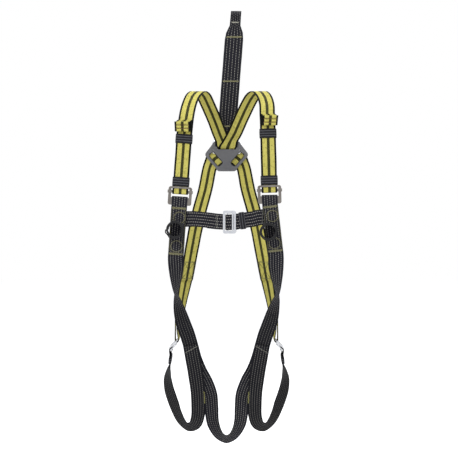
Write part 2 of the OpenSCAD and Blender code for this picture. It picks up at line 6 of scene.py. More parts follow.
import bmesh
import bpy
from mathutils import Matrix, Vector


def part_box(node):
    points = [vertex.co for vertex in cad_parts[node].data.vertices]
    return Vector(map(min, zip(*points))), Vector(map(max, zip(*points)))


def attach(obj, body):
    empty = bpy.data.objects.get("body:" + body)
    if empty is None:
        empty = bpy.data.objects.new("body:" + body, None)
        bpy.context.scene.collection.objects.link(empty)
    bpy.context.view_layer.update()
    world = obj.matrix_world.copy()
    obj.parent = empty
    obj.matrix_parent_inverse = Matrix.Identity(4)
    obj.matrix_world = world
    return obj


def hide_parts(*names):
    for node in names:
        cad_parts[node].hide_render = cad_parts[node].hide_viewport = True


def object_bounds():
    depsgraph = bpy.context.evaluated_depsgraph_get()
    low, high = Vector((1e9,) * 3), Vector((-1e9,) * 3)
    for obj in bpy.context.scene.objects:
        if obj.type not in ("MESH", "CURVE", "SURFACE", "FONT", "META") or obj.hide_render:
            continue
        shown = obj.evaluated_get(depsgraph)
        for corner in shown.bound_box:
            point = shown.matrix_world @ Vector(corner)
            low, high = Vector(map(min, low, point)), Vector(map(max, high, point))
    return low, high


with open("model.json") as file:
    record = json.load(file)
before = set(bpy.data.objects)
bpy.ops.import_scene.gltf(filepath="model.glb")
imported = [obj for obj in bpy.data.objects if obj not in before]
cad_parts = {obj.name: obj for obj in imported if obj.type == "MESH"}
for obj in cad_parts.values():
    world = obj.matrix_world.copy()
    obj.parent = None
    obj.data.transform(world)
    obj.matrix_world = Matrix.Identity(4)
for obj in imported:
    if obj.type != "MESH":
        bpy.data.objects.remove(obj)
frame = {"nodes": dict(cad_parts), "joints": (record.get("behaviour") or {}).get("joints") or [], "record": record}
cad_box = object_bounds()
record = frame["record"]

MM = 0.001
ROOT = "harness"
SIDES = ("right", "left")
UP = Vector((0, 0, 1))


# ------------------------------------------------------------------ materials

class Material:
    """A node material with short helpers, each of which returns an output socket."""

    def __init__(self, name):
        self.data = bpy.data.materials.new(name)
        self.data.use_nodes = True
        self.tree = self.data.node_tree
        self.shader = self.tree.nodes["Principled BSDF"]

    def node(self, kind, **settings):
        made = self.tree.nodes.new(kind)
        for key, value in settings.items():
            setattr(made, key, value)
        return made

    def feed(self, socket, value):
        if isinstance(value, bpy.types.NodeSocket):
            self.tree.links.new(value, socket)
        else:
            socket.default_value = value

    def math(self, operation, a, b=0.0, c=0.0, clamp=False):
        made = self.node("ShaderNodeMath", operation=operation, use_clamp=clamp)
        for socket, value in zip(made.inputs, (a, b, c)):
            self.feed(socket, value)
        return made.outputs[0]

    def smooth(self, value, low, high):
        """0 below low and 1 above high, smooth between."""
        made = self.node("ShaderNodeMapRange", interpolation_type="SMOOTHSTEP")
        self.feed(made.inputs["Value"], value)
        made.inputs["From Min"].default_value = low
        made.inputs["From Max"].default_value = high
        return made.outputs["Result"]

    def wave(self, value, period, shift=0.0):
        """A sine of the given period, from 0 to 1."""
        turns = self.math("MULTIPLY_ADD", value, 2 * math.pi / period, shift)
        return self.math("MULTIPLY_ADD", self.math("SINE", turns), 0.5, 0.5)

    def mix(self, share, a, b):
        made = self.node("ShaderNodeMix", data_type="RGBA")
        self.feed(made.inputs["Factor"], share)
        self.feed(made.inputs["A"], a)
        self.feed(made.inputs["B"], b)
        return made.outputs["Result"]

    def darken(self, colour, share, value):
        """colour, times a grey value, by share."""
        made = self.node("ShaderNodeMix", data_type="RGBA", blend_type="MULTIPLY")
        self.feed(made.inputs["Factor"], share)
        self.feed(made.inputs["A"], colour)
        self.feed(made.inputs["B"], value)
        return made.outputs["Result"]

    def noise(self, scale, detail=3.0, where=None):
        made = self.node("ShaderNodeTexNoise")
        made.inputs["Scale"].default_value = scale
        made.inputs["Detail"].default_value = detail
        self.feed(made.inputs["Vector"], where or self.place())
        return made.outputs["Fac"]

    def place(self):
        return self.node("ShaderNodeTexCoord").outputs["Object"]

    def web(self):
        """(along, across), in millimetres, from the webbing's own map."""
        split = self.node("ShaderNodeSeparateXYZ")
        self.feed(split.inputs[0], self.node("ShaderNodeUVMap", uv_map="web").outputs[0])
        return split.outputs[0], split.outputs[1]

    def bump(self, height, depth, strength=1.0):
        made = self.node("ShaderNodeBump")
        made.inputs["Distance"].default_value = depth
        made.inputs["Strength"].default_value = strength
        self.feed(made.inputs["Height"], height)
        self.feed(self.shader.inputs["Normal"], made.outputs[0])

    def set(self, **values):
        for name, value in values.items():
            self.feed(self.shader.inputs[name.replace("_", " ")], value)


def grey(v, alpha=1.0):
    return (v, v, v, alpha)


def weave(m, along, across, warp=1.25, weft=0.95):
    """Height of a plain weave: warp ribs along the webbing, crossed by the weft."""
    ribs = m.wave(across, warp)
    picks = m.wave(along, weft)
    offset = m.wave(along, 2 * weft, 0.0)
    crossings = m.math("MULTIPLY", m.math("MULTIPLY", picks, offset), 0.38)
    return m.math("MULTIPLY_ADD", ribs, 0.62, crossings)


def hi_vis_webbing():
    """Yellow webbing with dark edges and a dark hatched stripe down its middle."""
    m = Material("hi_vis_webbing")
    along, across = m.web()
    away = m.math("ABSOLUTE", across)
    height = weave(m, along, across)
    hatch = m.smooth(m.wave(m.math("MULTIPLY_ADD", across, 1.7, along), 6.6), 0.5, 0.8)
    yellow = m.mix(m.noise(28.0, 2.0), (0.62, 0.555, 0.12, 1), (0.78, 0.71, 0.185, 1))
    yellow = m.mix(m.smooth(m.noise(160.0, 4.0), 0.52, 0.75), yellow, (0.46, 0.42, 0.10, 1))
    stripe = m.mix(hatch, (0.006, 0.007, 0.003, 1), (0.13, 0.125, 0.035, 1))
    colour = m.mix(m.smooth(away, 3.8, 4.3), stripe, yellow)
    colour = m.mix(m.smooth(away, 16.6, 17.3), colour, (0.004, 0.005, 0.003, 1))
    # Painted shade in the weave's hollows and painted highlight on its ridges.
    colour = m.darken(colour, 0.45, m.mix(height, grey(0.62), grey(1.1)))
    m.set(Base_Color=colour, Roughness=m.math("MULTIPLY_ADD", m.noise(300.0), 0.2, 0.58),
          Sheen_Weight=0.03, Sheen_Roughness=0.4, Specular_IOR_Level=0.12)
    m.bump(height, 0.0005, 0.8)
    return m.data


def black_webbing(name, lines=7.5, reach=17.0, line_w=0.5, dash=6.4, share=0.6, bright=0.46,
                  depth=1.0, edge=None, painted_shade_along=None):
    """Black webbing with pale dashed lines, lines apart, out to reach from its middle,
    times depth in brightness (on the leg webbing a painted shade), and paler from edge
    outwards. The last argument gives where along it the webbing starts and ends to darken
    as painted shade, and by how much."""
    m = Material(name)
    along, across = m.web()
    away = m.math("ABSOLUTE", across)
    height = weave(m, along, across, 1.15, 0.9)
    cell = m.math("ROUND", m.math("DIVIDE", across, lines))
    off_line = m.math("ABSOLUTE", m.math("SUBTRACT", across, m.math("MULTIPLY", cell, lines)))
    on_line = m.math("SUBTRACT", 1.0, m.smooth(off_line, line_w * 0.7, line_w * 1.3))
    inside = m.math("SUBTRACT", 1.0, m.smooth(away, reach - 0.6, reach))
    run = m.math("MULTIPLY_ADD", m.math("ABSOLUTE", cell), dash * 0.47, along)
    phase = m.math("FRACT", m.math("DIVIDE", run, dash))
    dashes = m.math("MULTIPLY", m.smooth(phase, 0.0, 0.12),
                    m.math("SUBTRACT", 1.0, m.smooth(phase, share, share + 0.14)))
    mask = m.math("MULTIPLY", m.math("MULTIPLY", on_line, inside), dashes)
    base = m.mix(m.noise(30.0, 2.0), (0.0075, 0.0075, 0.012, 1), (0.016, 0.016, 0.025, 1))
    base = m.mix(m.smooth(m.noise(240.0, 4.0), 0.55, 0.8), base, (0.030, 0.029, 0.035, 1))
    rib = m.wave(across, lines / 2)
    base = m.mix(m.math("MULTIPLY", rib, 0.35), base, (0.024, 0.024, 0.031, 1))
    # Times depth; the leg webbing's low depth is painted shade.
    base = m.darken(base, 1.0, grey(depth))
    if edge:
        base = m.mix(m.smooth(away, edge, edge + 0.5), base, (0.035, 0.035, 0.036, 1))
    colour = m.mix(mask, base, (bright, bright * 0.96, bright * 0.88, 1))
    # Painted shade: darker further along the strap, from start to end, by share.
    if painted_shade_along:
        start, end, share = painted_shade_along
        colour = m.darken(colour, m.math("MULTIPLY", m.smooth(along, start, end), share), grey(0.0))
    # Painted shade in the weave's hollows and painted highlight on its ridges.
    colour = m.darken(colour, 0.5, m.mix(height, grey(0.55), grey(1.15)))
    m.set(Base_Color=colour, Roughness=m.math("MULTIPLY_ADD", m.noise(300.0), 0.2, 0.55),
          Sheen_Weight=0.02, Sheen_Roughness=0.45, Specular_IOR_Level=0.15)
    lifted = m.math("MULTIPLY_ADD", mask, 0.5, height)
    m.bump(lifted, 0.0005, 0.8)
    return m.data


def elastic_band():
    """Black knitted elastic with grey lines along it."""
    m = Material("elastic_band")
    along, across = m.web()
    ribs = m.wave(across, 1.3)
    knit = m.wave(along, 1.0)
    height = m.math("MULTIPLY_ADD", ribs, 0.7, m.math("MULTIPLY", knit, 0.3))
    line_gap = 7.2
    turns = m.math("FRACT", m.math("MULTIPLY_ADD", across, 1 / line_gap, 0.5))
    line = m.math("ABSOLUTE", m.math("SUBTRACT", turns, 0.5))
    on_line = m.math("SUBTRACT", 1.0, m.smooth(line, 0.10, 0.14))
    base = m.mix(m.noise(60.0), (0.008, 0.008, 0.010, 1), (0.017, 0.017, 0.021, 1))
    colour = m.mix(m.math("MULTIPLY", on_line, 0.9), base, (0.13, 0.13, 0.145, 1))
    # Painted shade in the knit's hollows and painted highlight on its ribs.
    colour = m.darken(colour, 0.6, m.mix(height, grey(0.5), grey(1.2)))
    m.set(Base_Color=colour, Roughness=0.62, Sheen_Weight=0.03, Specular_IOR_Level=0.2)
    m.bump(height, 0.0005, 0.8)
    return m.data


def thread(name, colour):
    """Twisted sewing thread."""
    m = Material(name)
    twist = m.noise(900.0, 2.0)
    dark, light = (tuple(c * share for c in colour) + (1,) for share in (0.7, 1.2))
    shade = m.mix(m.noise(120.0), dark, light)
    m.set(Base_Color=shade, Roughness=0.5, Sheen_Weight=0.3)
    m.bump(twist, 0.0002, 0.6)
    return m.data


def moulded_plastic(name, low, high):
    """Fine-grained plastic, smeared between two colours."""
    m = Material(name)
    grain = m.noise(900.0, 3.0)
    smear = m.noise(22.0, 4.0)
    colour = m.mix(smear, low, high)
    m.set(Base_Color=colour, Roughness=m.math("MULTIPLY_ADD", smear, 0.22, 0.34))
    m.bump(grain, 0.00015, 0.6)
    return m.data


def metal(name, low, high, rough, spots):
    """Plated steel: brushed by fine noise, dulled in patches, with small dark pits."""
    m = Material(name)
    patches = m.noise(45.0, 5.0)
    fine = m.noise(700.0, 4.0)
    pits = m.smooth(m.noise(190.0, 5.0), 0.66, 0.74)
    colour = m.mix(patches, low, high)
    colour = m.mix(m.math("MULTIPLY", pits, spots), colour, (0.10, 0.095, 0.085, 1))
    m.set(Base_Color=colour, Metallic=1.0,
          Roughness=m.math("MULTIPLY_ADD", patches, 0.22, rough))
    m.bump(m.math("MULTIPLY_ADD", pits, -0.6, fine), 0.00012, 0.5)
    return m.data


YELLOW = hi_vis_webbing()
# The front straps darken towards the thigh: painted shade.
BLACK = black_webbing("black_webbing", painted_shade_along=(420.0, 540.0, 0.5))
# Leg webbing, a shaded copy: its darker base, dimmer lines and darkening further along are painted shade.
SHADED_LEGS = black_webbing("leg_webbing", line_w=0.7, bright=0.22, depth=0.5, painted_shade_along=(240.0, 330.0, 0.4))
SEAT = black_webbing("seat_webbing", line_w=0.6, bright=0.38, depth=0.95)
LOOPS = black_webbing("loop_webbing", bright=0.2, edge=9.2)
BELT = black_webbing("belt_webbing", lines=8.6, reach=18.5, line_w=0.6, bright=0.52, depth=0.9)
WIDE = black_webbing("rescue_webbing", lines=10.2, reach=26.0, line_w=0.65, dash=8.0,
                     bright=0.42, depth=0.82)
ELASTIC = elastic_band()
OLIVE = thread("olive_thread", (0.32, 0.30, 0.135))
PALE = thread("pale_thread", (0.42, 0.41, 0.34))
GOLD = thread("gold_thread", (0.50, 0.47, 0.13))
BROWN = thread("brown_thread", (0.12, 0.035, 0.015))
DARK = thread("dark_thread", (0.07, 0.065, 0.02))
PLASTIC = moulded_plastic("moulded_plastic", (0.112, 0.112, 0.122, 1), (0.18, 0.18, 0.188, 1))
# Near-black colour of the window rims: painted shade along the edges of the plate's windows.
RIM_SHADE = moulded_plastic("window_rim_shade", (0.008, 0.008, 0.009, 1), (0.018, 0.018, 0.02, 1))
DULL = metal("dull_steel", (0.17, 0.15, 0.13, 1), (0.34, 0.315, 0.285, 1), 0.24, 0.5)
BRIGHT = metal("bright_steel", (0.70, 0.71, 0.73, 1), (0.88, 0.88, 0.89, 1), 0.17, 0.2)


# ------------------------------------------------------------------- webbing

class Strap:
    """A run of webbing: sections of (middle, full width vector, outward unit normal),
    their distances along it, and the points and normals on either face."""

    def __init__(self, sections, width, thick, step=3.5 * MM):
        self.width = width
        self.thick = thick
        self.rows = resample(sections, step)
        self.along = [0.0]
        for a, b in zip(self.rows, self.rows[1:]):
            self.along.append(self.along[-1] + (b[0] - a[0]).length)

    @property
    def length(self):
        return self.along[-1]

    def swell(self, near, amount, reach):
        """Widen it by a share, fading out at reach from a point."""
        for i, (p, w, n) in enumerate(self.rows):
            t = (p - near).length / reach
            if t < 1:
                self.rows[i] = (p, w * (1 + amount * (1 - t * t) ** 2), n)

    def at(self, s):
        """(middle, width vector, normal) at distance s along it."""
        s = min(max(s, 0.0), self.length)
        low, high = 0, len(self.along) - 1
        while high - low > 1:
            mid = (low + high) // 2
            if self.along[mid] <= s:
                low = mid
            else:
                high = mid
        share = (s - self.along[low]) / max(self.along[high] - self.along[low], 1e-9)
        a, b = self.rows[low], self.rows[high]
        return tuple(x.lerp(y, share) for x, y in zip(a, b))

    def point(self, s, v, face, lift=0.0):
        """A point at distance s, v from the middle, on face +1 or -1, lifted off it."""
        p, w, n = self.at(s)
        return p + w * (v / self.width) + n.normalized() * face * (self.thick / 2 + lift)

    def nearest(self, target, low=0.0, high=1.0):
        """The distance along it of the point nearest target, between two shares."""
        picks = [i for i, a in enumerate(self.along)
                 if low * self.length <= a <= high * self.length]
        return self.along[min(picks, key=lambda i: (self.rows[i][0] - target).length)]

    def face_to(self, s, direction):
        """+1 or -1: the face at s that looks more along direction."""
        return 1 if self.at(s)[2].dot(direction) > 0 else -1


def knot(a, b):
    return math.sqrt(max((b[0] - a[0]).length, 1e-9))


def resample(sections, step):
    """Sections along a spline through the given ones, about step apart."""
    def velocity(i):
        last = len(sections) - 1
        b = sections[i]
        if i > 0:
            before = (b[0] - sections[i - 1][0]) / knot(sections[i - 1], b)
            if i == last:
                return before
        after = (sections[i + 1][0] - b[0]) / knot(b, sections[i + 1])
        if i == 0:
            return after
        ka, kb = knot(sections[i - 1], b), knot(b, sections[i + 1])
        return (before * kb + after * ka) / (ka + kb)

    rows = []
    for i in range(len(sections) - 1):
        a, b = sections[i], sections[i + 1]
        va, vb, g = velocity(i), velocity(i + 1), knot(a, b)
        count = max(1, math.ceil((b[0] - a[0]).length / step))
        for j in range(count + (i == len(sections) - 2)):
            t = j / count
            t2, t3 = t * t, t * t * t
            p = (a[0] * (2 * t3 - 3 * t2 + 1) + va * g * (t3 - 2 * t2 + t)
                 + b[0] * (3 * t2 - 2 * t3) + vb * g * (t3 - t2))
            rows.append((p, a[1].lerp(b[1], t), a[2].lerp(b[2], t).normalized()))
    return rows


def cad_sections(node, start):
    """The cross-sections of a CAD strap, in order from the end that lies furthest
    towards start. A strap is a tube of four-cornered sections, so each section is the
    set of vertices one edge away from the one before."""
    bm = bmesh.new()
    bm.from_mesh(frame["nodes"][node].data)
    bmesh.ops.remove_doubles(bm, verts=bm.verts, dist=0.01 * MM)
    bm.verts.ensure_lookup_table()
    near = {v.index: {e.other_vert(v).index for e in v.link_edges} for v in bm.verts}
    place = {v.index: v.co.copy() for v in bm.verts}
    ends = [v.index for v in bm.verts if len(v.link_faces) < 6]
    bm.free()
    if len(place) == 8:
        order = sorted(place, key=lambda i: -place[i].dot(start))
        layers = [order[:4], order[4:]]
        return named_sections(layers, place)
    ends.sort(key=lambda i: -place[i].dot(start))
    first = sorted(ends, key=lambda i: (place[i] - place[ends[0]]).length)[:4]
    layers, seen = [first], set(first)
    while True:
        fresh = {n for i in layers[-1] for n in near[i]} - seen
        if not fresh:
            break
        layers.append(sorted(fresh))
        seen |= fresh
    return named_sections(layers, place)


def named_sections(layers, place):
    """(middle, width vector, normal) of each layer of four corners."""
    sections = []
    for layer in layers:
        a, others = layer[0], layer[1:]
        partner = min(others, key=lambda i: (place[i] - place[a]).length)
        rest = [i for i in others if i != partner]
        edge_a = (place[a] + place[partner]) / 2
        edge_b = (place[rest[0]] + place[rest[1]]) / 2
        across = edge_b - edge_a
        out = (place[a] - place[partner]).normalized()
        if sections:
            if across.dot(sections[-1][1]) < 0:
                across.negate()
            if out.dot(sections[-1][2]) < 0:
                out.negate()
        sections.append(((edge_a + edge_b) / 2, across, out))
    return sections


def selvedge(v):
    """Half thickness of webbing, as a share, at v from -1 to 1 across it."""
    round_edge = (1 - abs(v) ** 26) ** 0.5
    bead = 0.10 * math.exp(-((abs(v) - 0.93) / 0.035) ** 2)
    return round_edge * (1 + bead)


ACROSS = (-1.0, -0.9985, -0.992, -0.975, -0.94, -0.90, -0.84, -0.6, -0.3, 0.0,
          0.3, 0.6, 0.84, 0.90, 0.94, 0.975, 0.992, 0.9985, 1.0)


def new_piece(name, verts, faces, material, body=ROOT, uvs=None):
    mesh = bpy.data.meshes.new(name)
    mesh.from_pydata([tuple(v) for v in verts], [], faces)
    if uvs:
        layer = mesh.uv_layers.new(name="web")
        for loop in mesh.loops:
            layer.data[loop.index].uv = uvs[loop.vertex_index]
    mesh.materials.append(material)
    mesh.polygons.foreach_set("use_smooth", [True] * len(mesh.polygons))
    mesh.update()
    piece = bpy.data.objects.new(name, mesh)
    bpy.context.scene.collection.objects.link(piece)
    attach(piece, body)
    return piece


def fix_normals(piece):
    bm = bmesh.new()
    bm.from_mesh(piece.data)
    bmesh.ops.recalc_face_normals(bm, faces=bm.faces)
    bm.to_mesh(piece.data)
    bm.free()


def webbing(name, strap, material, body=ROOT, stands_for=(), seed=0.0):
    """A woven mesh along a strap, with rounded, slightly beaded and uneven edges."""
    verts, uvs, faces = [], [], []
    ring = [(v, 1) for v in ACROSS] + [(v, -1) for v in reversed(ACROSS[1:-1])]
    half = strap.width / 2
    for (p, w, n), s in zip(strap.rows, strap.along):
        wander = 0.22 * MM * math.sin(s / (31 * MM) + seed)
        wander += 0.12 * MM * math.sin(s / (11 * MM) + 2 * seed)
        ripple = 0.10 * MM * math.sin(s / (17 * MM) + 3 * seed)
        ends = min(s, strap.length - s) / (12 * MM)
        fade = min(1.0, ends)
        for v, face in ring:
            edge = v + wander / half * (1 if v > 0 else -0.7) * abs(v)
            lift = face * selvedge(v) * strap.thick / 2
            lift += fade * ripple * math.sin(v * 2.6 + seed)
            verts.append(p + w * (edge / 2) + n * lift)
            uvs.append((s / MM, v * half / MM))
    count = len(ring)
    for i in range(len(strap.rows) - 1):
        a, b = i * count, (i + 1) * count
        for j in range(count):
            k = (j + 1) % count
            faces.append((a + j, b + j, b + k, a + k))
    last = (len(strap.rows) - 1) * count
    faces.append(tuple(range(count)))
    faces.append(tuple(reversed(range(last, last + count))))
    piece = new_piece(name, verts, faces, material, body, uvs)
    if stands_for:
        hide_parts(*stands_for)
    fix_normals(piece)
    return piece


# ------------------------------------------------------------------- threads

class Stitching:
    """Rows of separate stitches, gathered into one mesh."""

    SIDES = 6
    RINGS = (0.0, 0.2, 0.5, 0.8, 1.0)

    def __init__(self, radius=0.42 * MM):
        self.radius = radius
        self.verts, self.faces = [], []

    def stitch(self, a, b, up_a, up_b):
        """One stitch from a to b, its ends sunk and its middle raised."""
        heading = b - a
        base = len(self.verts)
        for t in self.RINGS:
            up = up_a.lerp(up_b, t).normalized()
            side = heading.cross(up).normalized()
            arch = math.sin(math.pi * t)
            middle = a.lerp(b, t) + up * self.radius * (1.5 * arch - 1.1)
            fat = self.radius * (0.65 + 0.35 * arch)
            for k in range(self.SIDES):
                angle = 2 * math.pi * k / self.SIDES
                self.verts.append(middle + side * fat * math.cos(angle) + up * fat * math.sin(angle))
        n = self.SIDES
        for r in range(len(self.RINGS) - 1):
            for k in range(n):
                a0, b0 = base + r * n, base + (r + 1) * n
                self.faces.append((a0 + k, a0 + (k + 1) % n, b0 + (k + 1) % n, b0 + k))
        last = base + (len(self.RINGS) - 1) * n
        self.faces.append(tuple(reversed(range(base, base + n))))
        self.faces.append(tuple(range(last, last + n)))

    def row(self, strap, face, path, pitch=3.4 * MM, gap=0.7 * MM, lift=0.25 * MM):
        """Stitches along a path of (along, across) points on one face of a strap."""
        spots = []
        for (s0, v0), (s1, v1) in zip(path, path[1:]):
            count = max(1, round(math.hypot(s1 - s0, v1 - v0) / (0.8 * MM)))
            spots += [(s0 + (s1 - s0) * i / count, v0 + (v1 - v0) * i / count) for i in range(count)]
        spots.append(path[-1])
        walked, start = 0.0, spots[0]
        for a, b in zip(spots, spots[1:]):
            walked += math.hypot(b[0] - a[0], b[1] - a[1])
            if walked >= pitch:
                self.between(strap, face, start, b, gap, lift)
                start, walked = b, 0.0

    def between(self, strap, face, a, b, gap, lift):
        length = math.hypot(b[0] - a[0], b[1] - a[1])
        trim = gap / 2 / length
        ends = [(a[0] + (b[0] - a[0]) * t, a[1] + (b[1] - a[1]) * t) for t in (trim, 1 - trim)]
        ups = [strap.at(s)[2].normalized() * face for s, _ in ends]
        points = [strap.point(s, v, face, lift) for s, v in ends]
        self.stitch(points[0], points[1], ups[0], ups[1])

    def bartack(self, strap, face, s, reach, depth=7.2 * MM, pitch=1.5 * MM):
        """A dense zigzag across the webbing, reach to each side, depth along it."""
        count = int(2 * reach / pitch)
        for i in range(count):
            v = -reach + 2 * reach * i / count
            low, high = (s - depth / 2, v), (s + depth / 2, v + pitch * 0.5)
            back = (s - depth / 2, v + pitch)
            self.between(strap, face, low, high, 0.0, 0.3 * MM)
            self.between(strap, face, high, back, 0.0, 0.3 * MM)

    def circle(self, strap, face, s, v, radius):
        count = 48
        turns = [2 * math.pi * i / count for i in range(count + 1)]
        path = [(s + radius * math.sin(a), v + radius * math.cos(a)) for a in turns]
        self.row(strap, face, path)

    def box_cross(self, strap, face, s0, s1, reach):
        corners = [(s0, -reach), (s1, -reach), (s1, reach), (s0, reach), (s0, -reach)]
        self.row(strap, face, corners)
        self.row(strap, face, [(s0, -reach), (s1, reach)])
        self.row(strap, face, [(s0, reach), (s1, -reach)])

    def line(self, strap, face, s, reach, v=0.0):
        self.row(strap, face, [(s, v - reach), (s, v + reach)])

    def finish(self, name, material, body=ROOT):
        return new_piece(name, self.verts, self.faces, material, body)


# ------------------------------------------------------------ straps, stitched

WEB_W = 45 * MM
WEB_T = 1.8 * MM
FRONT, BACK = Vector((0, -1, 0)), Vector((0, 1, 0))


def cad_strap(node, start):
    return Strap(cad_sections(node, Vector(start)), WEB_W, WEB_T)


def shoulder_straps():
    """Both shoulder straps, spread a little where they fill the plate's openings."""
    plate_low, plate_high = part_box("dorsal_plate")
    behind = plate_high.y + WEB_T
    slot_middle = Vector((0, plate_low.y, 12 * MM))
    windows = {"right": Vector((34 * MM, behind, -25 * MM)),
               "left": Vector((-34 * MM, behind, -25 * MM))}
    for side in SIDES:
        strap = cad_strap(f"{side}_shoulder_strap", (0, -1, 0.2))
        strap.swell(slot_middle, 0.26, 24 * MM)
        strap.swell(windows[side], 0.26, 30 * MM)
        webbing(f"{side}_shoulder_webbing", strap, YELLOW,
                stands_for=[f"{side}_shoulder_strap"], seed=1.0 if side == "right" else 4.0)
        tail_hem(side, strap)
        hip_box(side, strap)


def tail_hem(side, strap):
    """The free end, folded to and fro on its front face, each fold a little further
    outwards, and sewn down."""
    low, high = 3 * MM, 34 * MM
    face = strap.face_to(high / 2, FRONT)
    rise = WEB_T + 0.5 * MM
    outward = Vector((-1 if side == "right" else 1, 0, 0))
    drift = 8 * MM
    layers, steps, ridges = 3, 13, 3
    rows = []
    for k in range(layers):
        for i in range(steps):
            share = i / (steps - 1)
            s = high + (low - high) * share if k % 2 == 0 else low + (high - 4 * MM - low) * share
            p, w, n = strap.at(s)
            out = n * face
            bow = 0.8 * MM * math.sin(math.pi * share)
            if k == layers - 1:
                bow = 2.6 * MM * abs(math.sin(math.pi * ridges * share)) ** 0.7
            shift = outward * drift * (k + share) / layers
            rows.append((p + out * (rise * (k + 1) + bow) + shift, w, out if k % 2 == 0 else -out))
        if k < layers - 1:
            p, w, out = rows[-1]
            p0 = rows[-2][0]
            heading = (p - p0).normalized()
            lift = (strap.at(s)[2] * face).normalized()
            turn_r = rise / 2
            for angle in (60, 120):
                a = math.radians(angle)
                middle = p + lift * turn_r * (1 - math.cos(a)) + heading * turn_r * math.sin(a)
                sideways = heading * math.sin(a) * (1 if k % 2 == 0 else -1)
                rows.append((middle, w, out * math.cos(a) + sideways))
    fold = Strap(rows, WEB_W, WEB_T, 2.5 * MM)
    webbing(f"{side}_tail_hem", fold, YELLOW, seed=2.0)
    thread_rows = Stitching(0.7 * MM)
    for ridge in range(1, ridges):
        s = high + (low - high) * ridge / ridges
        lead = fold.nearest(strap.at(s)[0] + outward * drift, 0.7, 1.0)
        for beside in (-0.8 * MM, 0.8 * MM):
            thread_rows.line(fold, fold.face_to(lead, FRONT), lead + beside, 20 * MM)
    thread_rows.finish(f"{side}_tail_hem_stitching", BROWN)


def hip_box(side, strap):
    """The crossed box that joins the shoulder strap to the opposite hip strap."""
    end = strap.length
    rows = Stitching()
    face = strap.face_to(end - 20 * MM, FRONT)
    for inset in (0, 1.6 * MM, 3.2 * MM):
        rows.box_cross(strap, face, end - 60 * MM + inset, end - 5 * MM - inset, 18 * MM - inset)
    rows.finish(f"{side}_hip_box_stitching", DARK)


def hip_straps():
    """Both hip straps, each with the outer side of its crossed box."""
    for side in SIDES:
        strap = cad_strap(f"{side}_hip_strap", (0, 0, 1))
        webbing(f"{side}_hip_webbing", strap, YELLOW,
                stands_for=[f"{side}_hip_strap"], seed=2.5)
        rows = Stitching()
        rows.box_cross(strap, strap.face_to(20 * MM, BACK), 5 * MM, 60 * MM, 18 * MM)
        rows.finish(f"{side}_hip_outer_stitching", DARK)


def front_straps():
    """Both front straps, with three rows of stitches at the thigh."""
    for side in SIDES:
        strap = cad_strap(f"{side}_front_strap", (0, 0, 1))
        webbing(f"{side}_front_webbing", strap, BLACK,
                stands_for=[f"{side}_front_strap"], seed=3.1)
        rows = Stitching()
        end = strap.length
        for s in (end - 8 * MM, end - 16 * MM, end - 24 * MM):
            rows.line(strap, strap.face_to(s, BACK), s, 18 * MM)
        rows.finish(f"{side}_thigh_join_stitching", PALE)


def loop_patches():
    """The strip over each chest strap: bartacks at its ends, a circle above the loop
    and one below it."""
    for side in SIDES:
        node = f"{side}_loop_patch"
        patch = cad_strap(node, (0, 0, 1))
        webbing(f"{side}_patch_webbing", patch, BLACK, stands_for=[node], seed=0.7)
        face = patch.face_to(patch.length / 2, FRONT)
        reach = WEB_W / 2 - 2.5 * MM
        tacks = Stitching(0.4 * MM)
        for s in (5 * MM, patch.length - 5 * MM):
            tacks.bartack(patch, face, s, reach, pitch=2.5 * MM)
        tacks.finish(f"{side}_patch_bartacks", OLIVE)
        rings = Stitching(0.44 * MM)
        radius = 17 * MM
        offset = 3 * MM if patch.at(0)[1].x > 0 else -3 * MM
        for grow in (0, 1.6 * MM):
            rings.circle(patch, face, 32 * MM, offset, radius - grow)
            rings.circle(patch, face, patch.length - 27 * MM, 0, radius - grow)
        if side == "left":
            rings.row(patch, face, [(18 * MM, -3 * offset), (46 * MM, -3 * offset)])
        rings.row(patch, face, [(10 * MM, -reach), (patch.length - 10 * MM, -reach)])
        rings.row(patch, face, [(10 * MM, reach), (patch.length - 10 * MM, reach)])
        rings.finish(f"{side}_patch_stitching", OLIVE)


def leg_straps():
    """Both leg straps, a little narrower inside their keepers."""
    for side in SIDES:
        strap = cad_strap(f"{side}_leg_strap", (0, 0, 1))
        keeper_low, keeper_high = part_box(f"{side}_leg_keeper")
        strap.swell((keeper_low + keeper_high) / 2, -0.05, 45 * MM)
        webbing(f"{side}_leg_webbing", strap, SHADED_LEGS,
                stands_for=[f"{side}_leg_strap"], seed=5.2)
        rows = Stitching(0.55 * MM)
        face = strap.face_to(10 * MM, FRONT)
        inwards = 1 if side == "right" else -1
        reach = 20 * MM if strap.at(0)[1].x * inwards > 0 else -20 * MM
        rows.row(strap, face, [(19 * MM, -reach), (6 * MM, reach)], pitch=3.0 * MM, gap=0.3 * MM)
        rows.finish(f"{side}_thigh_stitching", PALE)
        split_stitching(side, strap, face, reach)


def split_stitching(side, strap, face, reach):
    """Short slanted stitches down the inner edge, where the seat strap leaves it."""
    flecks = Stitching(0.6 * MM)
    first, apart, slant, count = 146 * MM, 4.5 * MM, 6 * MM, 8
    for i in range(count):
        s = first + apart * i
        flecks.between(strap, face, (s, reach * 0.88), (s + slant, reach * 1.04), 0.0, 0.3 * MM)
    flecks.finish(f"{side}_split_stitching", GOLD)


def seat():
    """The seat strap, its sewn ends tucked out of sight behind the leg straps."""
    strap = cad_strap("seat_strap", (-1, 0, 0))
    tuck, fade = 4.5 * MM, 110 * MM
    for i, (p, w, n) in enumerate(strap.rows):
        near_end = max(0.0, 1 - min(strap.along[i], strap.length - strap.along[i]) / fade)
        aside = Vector((math.copysign(tuck, p.x) * near_end ** 2, 0, 0))
        strap.rows[i] = (p + aside, w, n)
    webbing("seat_webbing", strap, SEAT, stands_for=["seat_strap"], seed=0.2)


